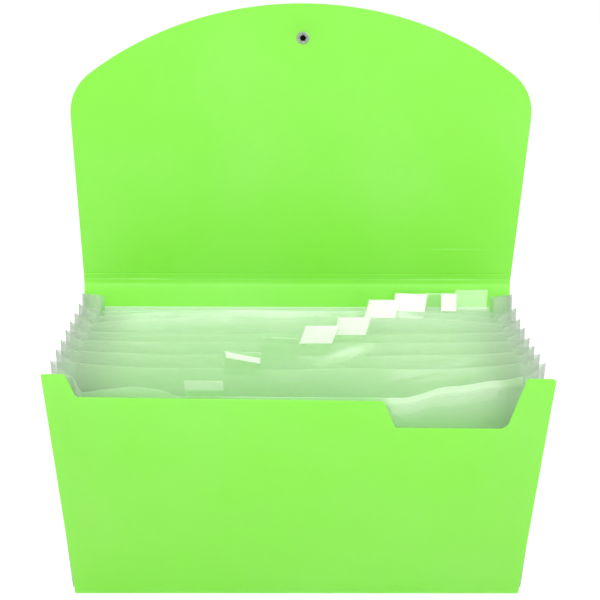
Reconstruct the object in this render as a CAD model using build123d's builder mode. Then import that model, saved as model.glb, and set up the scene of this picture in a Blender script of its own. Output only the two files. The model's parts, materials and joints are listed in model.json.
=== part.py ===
"""Expanding file of cheque size: a folded sheet cover round a pleated film bellows with tabbed dividers.

The file stands on its base, fanned open, with the flap raised. X runs along the width, +Y points to the
back panel and +Z is up. The origin is the middle of the underside of the base.
"""

from build123d import *
from math import cos, radians, sin, sqrt, tan
import os

os.makedirs("parts", exist_ok=True)

# Cover sheet: front, base, back and flap, scored and folded
panel_width = 260.0
cover_thickness = 0.8
base_depth = 40.0  # from one base fold to the other
front_height = 163.0  # base fold to the top of the ears
back_height = 169.0  # base fold to the flap fold
flap_length = 170.0  # flap fold to the top of the arch
flap_arch_radius = 196.0
flap_shoulder_radius = 31.0
first_score = 5.6  # fold lines pressed into the flap, from its fold
second_score = 22.6
score_width = 0.8
score_depth = 0.2
fold_gap = 0.15  # rolled base fold to the edge of the base
flap_fold_gap = 0.5  # rolled flap fold to the edge of the back panel

# How far the file stands open: angles from upright, in degrees
back_lean_angle = 18.1
front_lean_angle = 13.3
flap_lean_angle = 8.0

# Upper edge of the front panel: an ear at each side, a lowered middle and a thumb notch at the right
left_ear_width = 11.7
right_ear_width = 14.6
ear_drop = 16.0
ear_slope = 4.5
notch_width = 71.9
notch_depth = 18.0
notch_slope = 7.0
notch_radius = 5.0
corner_radius = 2.0

# Film bellows
pocket_count = 9
film_thickness = 0.3
bellows_inset = 12.5  # cover edge to divider edge
divider_drop = 17.0  # flap fold to the top of the dividers
pleat_depth = 14.0  # flat width of half a pleat, from its inner fold to its outer fold
pleat_drop = 7.0  # flap fold to the top of the pleats
pleat_fall = 9.0  # how far the top of a pleat falls from its outer fold to the divider
seam_gap = 0.2  # film edge to the film or panel it is welded to
pleat_gap = 0.1  # half the slit where two pleats meet at a divider
floor_inset = 2.0
bow_width = 115.0  # middle of a divider's upper edge, which slack lets hang forward or back
# How far it hangs towards the viewer, from the back divider to the front one, with room left in the shut fan
divider_bows = {1: -2.8, 2: -4.6, 3: -6.4, 4: 5.0, 5: 3.0, 6: 1.0, 7: 4.0, 8: 2.6}

# Index tabs: a folded clear sleeve on the rear sheet of each pocket, with a blank card in most of them
tab_width = 20.0
tab_rise = 11.0
tab_grip = 4.0
tab_wall = 0.25
tab_step = 19.3
tab_inset = 1.5
tab_gap = 0.1
card_thickness = 0.25
card_margin = 1.0
carded_pockets = (2, 3, 4, 5, 6, 8)  # counted from the back

# Clinched eyelet that anchors the closing elastic
eyelet_inset = 19.0  # from the top of the arch
eyelet_bore_radius = 1.6
eyelet_wall = 0.35
eyelet_flange_radius = 3.8
eyelet_flange_thickness = 0.3
eyelet_fit = 0.1
petal_count = 6
petal_reach = 0.65
petal_thickness = 0.3
petal_slit = 0.35
washer_radius = 3.9
washer_thickness = 0.3
anchor_bevel = 0.35

# Derived places
half_cover = cover_thickness / 2
half_film = film_thickness / 2
divider_width = panel_width - 2 * bellows_inset
divider_height = back_height - divider_drop
pleat_height = back_height - pleat_drop
fold_y = base_depth / 2
fold_z = half_cover
pocket_pitch = base_depth / pocket_count
angle_step = (back_lean_angle + front_lean_angle) / pocket_count
floor_top = cover_thickness + film_thickness
divider_foot = floor_top + seam_gap + half_film
divider_numbers = range(1, pocket_count)
pocket_numbers = range(1, pocket_count + 1)


def leaning_plane(y, z, lean):
    """Plane of a panel or film that leans back by lean degrees; its normal faces the viewer."""
    tilt = radians(lean)
    return Plane(origin=(0, y, z), x_dir=(1, 0, 0), z_dir=(0, -cos(tilt), sin(tilt)))


def rolled_fold():
    """Round lower edge of a cover panel, centred on the fold that it turns about."""
    Cylinder(half_cover, panel_width, rotation=(0, 90, 0))


def divider_angle(number):
    return back_lean_angle - number * angle_step


def divider_y(number):
    return fold_y - number * pocket_pitch


def divider_plane(number):
    return leaning_plane(divider_y(number), divider_foot, divider_angle(number))


def seam_y(number):
    """Where a sheet's face meets the level of the divider feet: back liner 0, dividers, front panel last."""
    rise = divider_foot - fold_z
    if number == 0:
        tilt = radians(back_lean_angle)
        return fold_y + rise * tan(tilt) - (half_cover + film_thickness) / cos(tilt)
    if number == pocket_count:
        tilt = radians(front_lean_angle)
        return -fold_y - rise * tan(tilt) + half_cover / cos(tilt)
    return divider_y(number)


def pleat_outline(half_opening, side):
    """Corners of one V-shaped pleat seen from above, between two inner folds."""
    reach = sqrt(pleat_depth**2 - half_opening**2)
    wall = film_thickness * pleat_depth / reach
    inner_reach = reach - film_thickness * pleat_depth / half_opening
    inner_fold = divider_width / 2 + seam_gap
    return [
        (side * inner_fold, half_opening),
        (side * (inner_fold + reach), 0),
        (side * inner_fold, -half_opening),
        (side * inner_fold, wall - half_opening),
        (side * (inner_fold + inner_reach), 0),
        (side * inner_fold, half_opening - wall),
    ]


front_plane = leaning_plane(-fold_y, fold_z, -front_lean_angle)
back_plane = leaning_plane(fold_y, fold_z, back_lean_angle)
flap_fold = back_plane.from_local_coords(Vector(0, back_height, 0))
flap_plane = leaning_plane(flap_fold.Y, flap_fold.Z, -flap_lean_angle)

# Base panel: the flat strip that the file stands on
with BuildPart() as base_panel:
    with BuildSketch():
        Rectangle(panel_width, base_depth - 2 * (half_cover + fold_gap))
    extrude(amount=cover_thickness)
base_panel.part.label = "base_panel"
export_step(base_panel.part, "parts/base_panel.step")

# Front panel: ears at the sides, a lowered upper edge and the thumb notch
front_side = panel_width / 2
left_ear_edge = left_ear_width - front_side
ear_edge = front_side - right_ear_width
middle_edge = front_height - ear_drop
notch_edge = ear_edge - notch_width
notch_floor = middle_edge - notch_depth
front_outline = {
    (-front_side, 0): 0,
    (-front_side, front_height): corner_radius,
    (left_ear_edge, front_height): corner_radius,
    (left_ear_edge + ear_slope, middle_edge): corner_radius,
    (notch_edge, middle_edge): corner_radius,
    (notch_edge + notch_slope, notch_floor): corner_radius,
    (ear_edge - notch_slope, notch_floor): notch_radius,
    (ear_edge, front_height): corner_radius,
    (front_side, front_height): corner_radius,
    (front_side, 0): 0,
}
with BuildPart(front_plane) as front_panel:
    with BuildSketch(front_plane):
        with BuildLine():
            FilletPolyline(*front_outline, radius=list(front_outline.values()), close=True)
        make_face()
    extrude(amount=half_cover, both=True)
    rolled_fold()
front_panel.part.label = "front_panel"
export_step(front_panel.part, "parts/front_panel.step")

# Back panel: plain, up to the flap fold
back_edge = back_height - half_cover - flap_fold_gap
with BuildPart(back_plane) as back_panel:
    with BuildSketch(back_plane):
        with Locations((0, back_edge / 2)):
            Rectangle(panel_width, back_edge)
    extrude(amount=half_cover, both=True)
    rolled_fold()
back_panel.part.label = "back_panel"
export_step(back_panel.part, "parts/back_panel.step")

# Flap: arched top, round shoulders, pressed score lines and the hole for the eyelet
eyelet_height = flap_length - eyelet_inset
barrel_radius = eyelet_bore_radius + eyelet_wall
shoulder_height = flap_length - flap_arch_radius + sqrt(flap_arch_radius**2 - front_side**2)
with BuildPart(flap_plane) as flap:
    with BuildSketch(flap_plane):
        with BuildLine():
            sides = Polyline(
                (-front_side, shoulder_height),
                (-front_side, 0),
                (front_side, 0),
                (front_side, shoulder_height),
            )
            ThreePointArc(sides @ 1, (0, flap_length), sides @ 0)
        outline = make_face()
        fillet(outline.vertices().group_by(Axis.Y)[-1], flap_shoulder_radius)
        with Locations((0, eyelet_height)):
            Circle(barrel_radius + eyelet_fit, mode=Mode.SUBTRACT)
    extrude(amount=half_cover, both=True)
    rolled_fold()
    with BuildSketch(flap_plane.offset(half_cover)):
        with Locations((0, first_score), (0, second_score)):
            Rectangle(panel_width, score_width)
    extrude(amount=-score_depth, mode=Mode.SUBTRACT)
flap.part.label = "flap"
export_step(flap.part, "parts/flap.step")

# Eyelet: flange on the outer face, barrel through the flap, split end clinched over the washer
flange_level = -half_cover - eyelet_flange_thickness
clinch_level = half_cover + washer_thickness
eyelet_plane = flap_plane.shift_origin(flap_plane.from_local_coords(Vector(0, eyelet_height, 0)))
eyelet_section = Plane(origin=eyelet_plane.origin, x_dir=eyelet_plane.x_dir, z_dir=-eyelet_plane.y_dir)
with BuildPart() as eyelet:
    with BuildSketch(eyelet_section):
        with BuildLine():
            Polyline(
                (eyelet_bore_radius, flange_level),
                (eyelet_flange_radius, flange_level),
                (eyelet_flange_radius, -half_cover),
                (barrel_radius, -half_cover),
                (barrel_radius, clinch_level),
                (barrel_radius + petal_reach, clinch_level),
                (eyelet_bore_radius, clinch_level + petal_thickness),
                close=True,
            )
        make_face()
    revolve(axis=Axis(eyelet_plane.origin, eyelet_plane.z_dir))
    with BuildSketch(eyelet_plane.offset(clinch_level)):
        with PolarLocations(barrel_radius + petal_reach, petal_count):
            Rectangle(2 * petal_reach, petal_slit)
    extrude(amount=petal_thickness, mode=Mode.SUBTRACT)
eyelet.part.label = "eyelet"
export_step(eyelet.part, "parts/eyelet.step")

# Washer under the clinched petals, on the inner face of the flap
with BuildPart() as eyelet_washer:
    with BuildSketch(eyelet_plane.offset(half_cover)):
        Circle(washer_radius)
        Circle(barrel_radius + eyelet_fit, mode=Mode.SUBTRACT)
    extrude(amount=washer_thickness)
eyelet_washer.part.label = "eyelet_washer"
export_step(eyelet_washer.part, "parts/eyelet_washer.step")

# Anchor bead that fills the eyelet, with a bevelled inner end
anchor_radius = eyelet_bore_radius - eyelet_fit
with BuildPart() as elastic_anchor:
    with BuildSketch(eyelet_section):
        with BuildLine():
            Polyline(
                (0, flange_level),
                (anchor_radius, flange_level),
                (anchor_radius, clinch_level),
                (anchor_radius - anchor_bevel, clinch_level + anchor_bevel),
                (0, clinch_level + anchor_bevel),
                close=True,
            )
        make_face()
    revolve(axis=Axis(eyelet_plane.origin, eyelet_plane.z_dir))
elastic_anchor.part.label = "elastic_anchor"
export_step(elastic_anchor.part, "parts/elastic_anchor.step")

# Floor film that closes the pockets below
with BuildPart() as pocket_floor:
    with BuildSketch(Plane.XY.offset(cover_thickness)):
        Rectangle(divider_width, base_depth - 2 * floor_inset)
    extrude(amount=film_thickness)
pocket_floor.part.label = "pocket_floor"
export_step(pocket_floor.part, "parts/pocket_floor.step")

# Back liner: end sheet of the bellows, welded flat to the back panel
with BuildPart() as back_liner:
    with BuildSketch(back_plane.offset(half_cover)):
        with Locations((0, divider_foot + divider_height / 2)):
            Rectangle(divider_width, divider_height)
    extrude(amount=film_thickness)
back_liner.part.label = "back_liner"
export_step(back_liner.part, "parts/back_liner.step")

# Dividers: slack film that can't stretch, so each is three flat facets with creases from the lower corners up
side_edge = divider_width / 2
bow_edge = bow_width / 2
for number in divider_numbers:
    bow = divider_bows.get(number, 0)
    left_foot, right_foot = (-side_edge, -half_film, 0), (side_edge, -half_film, 0)
    left_bend, right_bend = (-bow_edge, divider_height, bow), (bow_edge, divider_height, bow)
    left_top, right_top = (-side_edge, divider_height, 0), (side_edge, divider_height, 0)
    facets = [
        (left_foot, right_foot, right_bend, left_bend),
        (left_foot, left_bend, left_top),
        (right_foot, right_bend, right_top),
    ]
    with BuildPart(divider_plane(number)) as divider:
        for corners in facets:
            ConvexPolyhedron([(x, y, z + side) for x, y, z in corners for side in (-half_film, half_film)])
    divider.part.label = f"divider_{number}"
    export_step(divider.part, f"parts/divider_{number}.step")

# Side pleats: one V of film on each side of each pocket, wider at the top than at the base
pleat_start = pocket_pitch / 2
for number in pocket_numbers:
    rear_angle = divider_angle(number - 1)
    pleat_angle = rear_angle - angle_step / 2
    middle_y = (seam_y(number - 1) + seam_y(number)) / 2
    foot_opening = (seam_y(number - 1) - seam_y(number)) / 2 * cos(radians(pleat_angle)) - pleat_gap
    spread = tan(radians(angle_step / 2))
    top_reach = sqrt(pleat_depth**2 - (foot_opening + pleat_height * spread) ** 2)
    outer_fold = side_edge + seam_gap + top_reach
    tilt = radians(pleat_angle)
    pleat_plane = Plane(origin=(0, middle_y, divider_foot), x_dir=(1, 0, 0), z_dir=(0, sin(tilt), cos(tilt)))
    for side_name, side in (("left", -1), ("right", 1)):
        with BuildPart() as pleat:
            for level in (pleat_start, pleat_height):
                with BuildSketch(pleat_plane.offset(level)):
                    Polygon(*pleat_outline(foot_opening + level * spread, side), align=None)
            loft(ruled=True)
            outer_top = pleat_plane.from_local_coords(Vector(side * outer_fold, 0, pleat_height))
            top_normal = pleat_plane.z_dir * top_reach - pleat_plane.x_dir * (side * pleat_fall)
            split(bisect_by=Plane(origin=outer_top, z_dir=top_normal), keep=Keep.BOTTOM)
        pleat.part.label = f"pleat_{side_name}_{number}"
        export_step(pleat.part, f"parts/pleat_{side_name}_{number}.step")

# Index tabs: stepped across the width, the rearmost at the right
sleeve_slot = max(film_thickness, card_thickness) + 2 * tab_gap
sleeve_depth = sleeve_slot + 2 * tab_wall
card_height = tab_rise - tab_wall - 2 * tab_gap
first_tab = divider_width / 2 - tab_inset - tab_width / 2


def tab_plane(pocket):
    """Plane of a pocket's tab, at the top of its rear sheet: astride a divider or before the liner."""
    tab_middle = first_tab - (pocket - 1) * tab_step
    if pocket == 1:
        sheet = back_plane.offset(half_cover + film_thickness + tab_gap + sleeve_depth / 2)
        upper_edge = Vector(tab_middle, divider_foot + divider_height, 0)
        return sheet.shift_origin(sheet.from_local_coords(upper_edge))
    sheet = divider_plane(pocket - 1)
    bow = divider_bows.get(pocket - 1, 0)
    if abs(tab_middle) < bow_edge:
        hang = bow
        along = sheet.x_dir
        upward = sheet.y_dir + sheet.z_dir * (bow / divider_height)
    else:
        slope = bow / (side_edge - bow_edge)
        hang = slope * (side_edge - abs(tab_middle))
        along = sheet.x_dir - sheet.z_dir * (slope * tab_middle / abs(tab_middle))
        upward = sheet.y_dir
    middle = sheet.from_local_coords(Vector(tab_middle, divider_height, hang))
    return Plane(origin=middle, x_dir=along, z_dir=along.cross(upward))


for number in pocket_numbers:
    tab = tab_plane(number)
    sleeve_end = tab.from_local_coords(Vector(tab_width / 2, 0, 0))
    sleeve_plane = Plane(origin=sleeve_end, x_dir=tab.z_dir, z_dir=-tab.x_dir)
    with BuildPart() as tab_sleeve:
        with BuildSketch(sleeve_plane):
            with Locations((0, (tab_rise - tab_grip) / 2)):
                Rectangle(sleeve_depth, tab_rise + tab_grip)
            with Locations((0, (tab_rise - tab_wall - tab_grip) / 2)):
                Rectangle(sleeve_slot, tab_rise - tab_wall + tab_grip, mode=Mode.SUBTRACT)
        extrude(amount=tab_width)
    tab_sleeve.part.label = f"tab_sleeve_{number}"
    export_step(tab_sleeve.part, f"parts/tab_sleeve_{number}.step")

    if number in carded_pockets:
        with BuildPart() as tab_card:
            with BuildSketch(tab):
                with Locations((0, tab_gap + card_height / 2)):
                    Rectangle(tab_width - 2 * card_margin, card_height)
            extrude(amount=card_thickness / 2, both=True)
        tab_card.part.label = f"tab_card_{number}"
        export_step(tab_card.part, f"parts/tab_card_{number}.step")
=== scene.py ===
"""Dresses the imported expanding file: folded sheet cover, pleated film bellows, index tabs and eyelet.

Lengths in the code are millimetres, and points become metres where a mesh is made. u runs along the
width of a sheet, v up it from its foot and n towards the viewer.
"""

import json
from collections import namedtuple
from math import atan2, cos, exp, hypot, pi, radians, sin, sqrt, tan
from random import Random

import bmesh
import bpy
from mathutils import Matrix, Vector


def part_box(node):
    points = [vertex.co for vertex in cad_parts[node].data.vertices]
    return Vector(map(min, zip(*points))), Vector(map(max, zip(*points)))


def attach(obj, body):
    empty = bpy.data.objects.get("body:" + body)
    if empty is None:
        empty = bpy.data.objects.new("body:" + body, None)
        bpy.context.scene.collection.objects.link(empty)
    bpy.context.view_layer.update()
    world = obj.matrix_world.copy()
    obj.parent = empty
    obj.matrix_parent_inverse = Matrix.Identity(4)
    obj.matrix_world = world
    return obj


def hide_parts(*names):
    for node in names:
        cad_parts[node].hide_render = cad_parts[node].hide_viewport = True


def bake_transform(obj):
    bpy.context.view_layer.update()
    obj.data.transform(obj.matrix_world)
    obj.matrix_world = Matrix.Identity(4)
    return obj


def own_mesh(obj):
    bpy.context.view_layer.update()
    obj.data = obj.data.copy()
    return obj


bl_info = {
    "name": "Expanding file",
    "version": (1, 0, 0),
    "blender": (4, 5, 0),
    "location": "View3D > Sidebar > Expanding file",
    "description": "Builds a fanned expanding file: sheet cover, film bellows, index tabs and eyelet",
    "category": "Object",
}

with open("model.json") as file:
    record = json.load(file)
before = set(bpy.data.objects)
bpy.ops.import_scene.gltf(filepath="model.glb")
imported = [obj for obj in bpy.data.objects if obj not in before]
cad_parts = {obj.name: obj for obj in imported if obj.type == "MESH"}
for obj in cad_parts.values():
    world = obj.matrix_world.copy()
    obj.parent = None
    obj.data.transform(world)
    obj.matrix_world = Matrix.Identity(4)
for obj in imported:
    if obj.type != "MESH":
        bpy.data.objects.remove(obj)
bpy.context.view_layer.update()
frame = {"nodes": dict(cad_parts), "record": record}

MM = 0.001
WHITE = (1.0, 1.0, 1.0, 1.0)
RIGHT, UP = Vector((1, 0, 0)), Vector((0, 0, 1))

# Where each fold runs, and how far its sheet leans back from upright
behaviour = frame["record"]["behaviour"]
FOLD = {joint["name"]: Vector(joint["pos_m"]) / MM for joint in behaviour["joints"]}
BACK_LEAN = next(j["range_deg"][1] for j in behaviour["joints"] if j["name"] == "back_fold")
LEAN = {c["joint"]: c["ratio"] * BACK_LEAN for c in behaviour["couplings"]}
LEAN["back_fold"] = BACK_LEAN
LEAN["flap_fold"] = -8.0
POCKETS = sum(name.startswith("pleat_fold") for name in FOLD)
DIVIDERS = range(1, POCKETS)
FRONT_DIVIDER = POCKETS - 1
HALF_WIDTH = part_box("front_panel")[1].x / MM
DIVIDER_WIDTH = 2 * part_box("divider_1")[1].x / MM
BACK_HEIGHT = (FOLD["flap_fold"] - FOLD["back_fold"]).length

# Front panel: its upper edge, and how far it bulges in the middle
FRONT_HEIGHT, FRONT_BULGE = 163.0, 0.8
LEFT_EAR, RIGHT_EAR, EAR_DROP, EAR_SLOPE = 11.7, 14.6, 16.0, 4.5
EAR_LIMIT = FRONT_HEIGHT + 1.0  # a higher ear would meet the flap when the file is shut
NOTCH_WIDTH, NOTCH_DEPTH, NOTCH_SLOPE, NOTCH_RADIUS = 71.9, 18.0, 7.0, 5.0
CORNER_RADIUS = 2.0
BLEND_REACH = 5.0  # from a base fold up the back panel

# Flap: its outline, its score lines and the part of the back panel that is one sheet with it
FLAP_LENGTH, ARCH_RADIUS, SHOULDER_RADIUS = 170.0, 196.0, 31.0
SCORES, SCORE_WIDTH = (5.6, 22.6), 0.35
UPPER_SCORE = 0.4  # depth of the upper score line, as a share of the lower one's
EYELET_HEIGHT, DIMPLE_RADIUS = FLAP_LENGTH - 19.0, 6.5
EYELET_ZONE = 14.0  # to each side of the eyelet, where the sheet is drawn in
FLAP_SEAM = BACK_HEIGHT - 40.0

# Whiteness of the bent sheet: at the base folds, near both ends of the flap's bend, where stress whitening
# carries a painted highlight of the fold, and what wear adds
FOLD_WHITENESS, BEND_START, BEND_END, BEND_WORN = 0.5, 0.3, 0.35, 0.6
# Stretches of the flap's fold and of its upper score line that wear more: middle and half width
WORN_BEND, WORN_SCORE = ((-90, 18), (85, 30)), (92, 16)

# Pleats at the sides
PLEAT_HEIGHT = BACK_HEIGHT - 7.0
PLEAT_GAP, SEAM_GAP = 0.1, 0.2
PLEAT_SLOPE, REAR_PLEAT_SLOPE = 6.0, 2.0  # fall of the upper edge from the outer fold to the divider
PLEAT_CORNER, PLEAT_RIPPLE, PLEAT_ROUNDING = 1.0, 0.3, 0.012  # the rounding is a share of the depth
# How far the top of each pocket's pleats has sunk, at the left and at the right
PLEAT_SINK = {
    1: (0, 0), 2: (3, 5), 3: (5, 8), 4: (6, 9), 5: (6, 10), 6: (6, 9), 7: (5, 7), 8: (4, 5), 9: (5, 7)}

# Dividers
DIVIDER_HEIGHT = BACK_HEIGHT - 17.0
SLACK_GROWTH = 1.7  # power of the height with which a divider's bow grows
# How far the top of each divider's middle hangs towards the viewer, from the back to the last but one
DIVIDER_BOW = {1: -8.0, 2: -19.0, 3: -15.0, 4: 5.0, 5: 3.0, 6: 5.0, 7: 6.0}
# The front divider's upper edge from left to right: place along it, how far it hangs forward and sags
FRONT_SWAG = (
    (-117.5, 0.0, 0.0), (-112.0, 9.0, 4.5), (-98.0, 8.5, 2.2), (-85.0, 8.0, 0.9), (-73.0, 8.8, 2.0),
    (-61.0, 11.5, 5.0), (53.0, 11.8, 5.4), (79.0, 6.5, 1.6), (105.0, 2.5, 0.5), (117.5, 0.0, 0.0))
# Buckles in a divider: place along it, drop under its edge, slope, size and how strong a painted glint on
# it is
Crease = namedtuple("Crease", "place drop slope half_length half_width height whiteness")
CREASES = {
    # Divider 5's first buckle carries a large painted glint, the other listed buckles a faint painted
    # highlight on their crest
    5: (Crease(25.0, 7.5, 0.32, 12.0, 3.0, 0.8, 1.8), Crease(-83.0, 3.0, -0.21, 18.0, 1.4, 0.9, 0.1)),
    6: (Crease(-96.0, 2.0, -0.23, 14.0, 1.4, 0.9, 0.1), Crease(-68.0, 4.0, -0.2, 12.0, 1.4, 0.9, 0.1),
        Crease(88.0, 6.5, 0.2, 24.0, 1.4, 0.9, 0.08)),
    7: (Crease(-60.0, 13.5, -0.34, 10.0, 1.6, 1.2, 0.15), Crease(-43.0, 9.5, -0.42, 7.0, 1.6, 1.0, 0.12),
        Crease(54.0, 6.0, 0.27, 22.0, 1.4, 1.0, 0.1), Crease(-5.0, 7.0, 0.03, 26.0, 1.2, 0.7, 0.08),
        Crease(8.0, 14.0, 0.04, 24.0, 1.2, 0.7, 0.08)),
    8: (Crease(-62.0, 9.0, -0.2, 16.0, 2.2, 0.9, 0.1),),
}
# Painted highlight along the film's upper edge: at the cut edge, in a band under it, and that band's depth
Hem = namedtuple("Hem", "edge haze depth")
DIVIDER_EDGE_HIGHLIGHT, LINER_EDGE_HIGHLIGHT = Hem(0.12, 0.03, 7), Hem(1.0, 0.75, 16)
# The painted highlight band under the front divider's edge grows hazier between two places along it, and
# its edge is whiter than its haze
SWAG_HAZE, SWAG_EDGE, HAZE_START, HAZE_END = 0.35, 0.1, -70, -30
# The liner: its gap to the back panel, and the height, number and start of its waves
LINER_GAP, LINER_BILLOW, LINER_WAVES, LINER_LOOSE = 0.05, 0.5, 5, 0.3
FLOOR_RIPPLE = 0.03  # of the film on the base

# Tabs, and the room round a card in its sleeve
TAB_WIDTH, TAB_RISE, TAB_GRIP, TAB_STEP, TAB_INSET = 20.0, 11.0, 4.0, 19.3, 1.5
SLEEVE_ROOM = 0.2  # half of the room between the walls
REAR_SLEEVE_GAP = 0.6  # from the liner to the rear sleeve
CARD_SIDE, CARD_TOP, CARD_HEIGHT = 1.0, 0.5, TAB_RISE - 0.6
# Cards that don't fill their sleeve: room left at the left end, height, and slope down to the right
CARD_CUT = {2: (9.0, CARD_HEIGHT, 0.0), 8: (0.0, 3.4, 0.18)}
# Tabs that lean sideways, as a slope to the right
TAB_LEAN = {3: 0.15, 4: 0.3, 5: 0.25, 6: 0.35}

# Camera of the photograph: place in millimetres, angles in degrees, focal length for a frame of 600 pixels
FRAME_PIXELS = 600
FOCAL_PIXELS = 1127.9
CAMERA_PLACE = (-4.594, -572.035, 404.884)
CAMERA_PITCH, CAMERA_YAW, CAMERA_ROLL = 21.667, 0.547, 0.356
# Lamps: place and size in metres, and power in watts
LAMPS = {
    "key": ((-0.4, -1.5, 1.45), 1.2, 17.2),
    "fill": ((0.9, -1.7, 0.6), 1.2, 8.5),
    "top": ((0.0, -0.35, 2.0), 1.4, 12.0),
}
LAMP_AIM = Vector((0.0, 0.0, 0.15))
SKY_LIGHT, SKY_SEEN = 0.66, 1.0  # strength of the world for the object, and where it is looked at
FLOOR_REACH, FLOOR_LIFT = 9.0, 0.35
SMOOTH_LIMIT = radians(35)  # a sharper edge stays sharp


def linear(code):
    """Linear colour of an sRGB hex code."""
    shares = [int(code[i:i + 2], 16) / 255 for i in (0, 2, 4)]
    return (*(c / 12.92 if c <= 0.04045 else ((c + 0.055) / 1.055) ** 2.4 for c in shares), 1.0)


def length(name, description, millimetres):
    return bpy.props.FloatProperty(
        name=name, description=description, default=millimetres * MM, min=0.0, unit="LENGTH", precision=5
    )


def colour(name, description, code):
    return bpy.props.FloatVectorProperty(
        name=name, description=description, default=linear(code), size=4, min=0.0, max=1.0, subtype="COLOR"
    )


class FileSizes(bpy.types.PropertyGroup):
    """Sizes that change how the sheets look, not where they stand."""

    sheet: length("Sheet", "Thickness of the cover sheet", 0.8)
    sheet_edge: length("Sheet edge", "Rounding of the cut edges of the cover", 0.15)
    fold: length("Base fold radius", "Radius of the folds at the base, at the middle of the sheet", 1.0)
    flap_fold: length("Flap fold radius", "Radius of the flap's soft fold", 10.0)
    score: length("Score depth", "Depth of the pressed lines in the flap", 0.12)
    dimple: length("Dimple", "How far the eyelet draws the flap in", 1.2)
    twist: length("Front twist", "How far the right ear stands forward of the left one", 2.0)
    skew: length("Front skew", "How much higher the left ear stands than the right one", 2.2)
    sway: length("Flap sway", "How far the top of the flap hangs to the right", 2.4)
    film: length("Film", "Thickness of the bellows film", 0.24)
    ripple: length("Ripple", "Height of the small waves in the film", 0.7)
    pleat: length("Pleat depth", "Flat width of half a pleat", 14.0)
    tab_wall: length("Tab wall", "Wall of the clear tab sleeves", 0.2)
    card: length("Card", "Thickness of the index cards", 0.25)


class FileColours(bpy.types.PropertyGroup):
    """Colours of the finishes."""

    cover: colour("Cover", "Polypropylene sheet", "9AEE53")
    # Scuff: whitened sheet with wear, and the painted highlight along the flap's fold
    scuff_and_highlight: colour("Scuff", "Whitened sheet along folds and score lines", "C6FF9E")
    film: colour("Film", "Haze of the bellows film", "ECFBE5")
    # Film edge: the colour of the painted highlights at the film's edges and buckles, which its draw lines
    # also take
    film_edge: colour("Film edge", "Cut edges and creases of the film", "F0FCEB")
    # Pleat film and pleat folds: painted shade that greys the side film, darker at its outer folds
    pleat_film: colour("Pleat film", "Haze of the creased side film", "CADBC6")
    pleat_fold: colour("Pleat folds", "Outer folds of the side film", "A6B0A5")
    sleeve: colour("Sleeve", "Clear tab sleeves", "E4F5DE")
    card: colour("Card", "Index cards", "FAFDF6")
    metal: colour("Metal", "Nickel plating of the eyelet", "98A596")
    bead: colour("Bead", "Anchor bead in the eyelet", "050605")
    floor: colour("Floor", "Studio floor", "F4F4F4")


class Leaf:
    """The plane of a sheet that turns on one fold."""

    def __init__(self, fold):
        tilt = radians(LEAN[fold])
        self.foot = FOLD[fold]
        self.up = Vector((0, sin(tilt), cos(tilt)))
        self.out = Vector((0, -cos(tilt), sin(tilt)))

    def at(self, u, v, n=0.0):
        """A point of the sheet, in millimetres."""
        return self.foot + Vector((u, 0, 0)) + self.up * v + self.out * n

    def spot(self, u, v):
        """A point of the sheet, in metres."""
        return tuple(self.at(u, v) * MM)


def add(tree, kind, inputs=None, **settings):
    """Adds a node: settings first, then its sockets, by name or number.

    A value is set on the socket. A socket, a node, which stands for its first output, or a list of
    them is linked to it.
    """
    made = tree.nodes.new(kind)
    for key, value in settings.items():
        setattr(made, key, value)
    for key, value in (inputs or {}).items():
        socket = made.inputs[key] if isinstance(key, int) else next(
            s for s in made.inputs if s.name == key and s.enabled)
        for item in value if isinstance(value, list) else [value]:
            if isinstance(item, bpy.types.Node):
                item = next(s for s in item.outputs if s.enabled)
            if isinstance(item, bpy.types.NodeSocket):
                tree.links.new(item, socket)
            else:
                socket.default_value = item
    return made


def new_material(name):
    """An empty material: the material, its tree and the place of a point in it, in metres."""
    made = bpy.data.materials.new(name)
    made.use_nodes = True
    made.node_tree.nodes.clear()
    return made, made.node_tree, add(made.node_tree, "ShaderNodeTexCoord").outputs["Object"]


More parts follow.
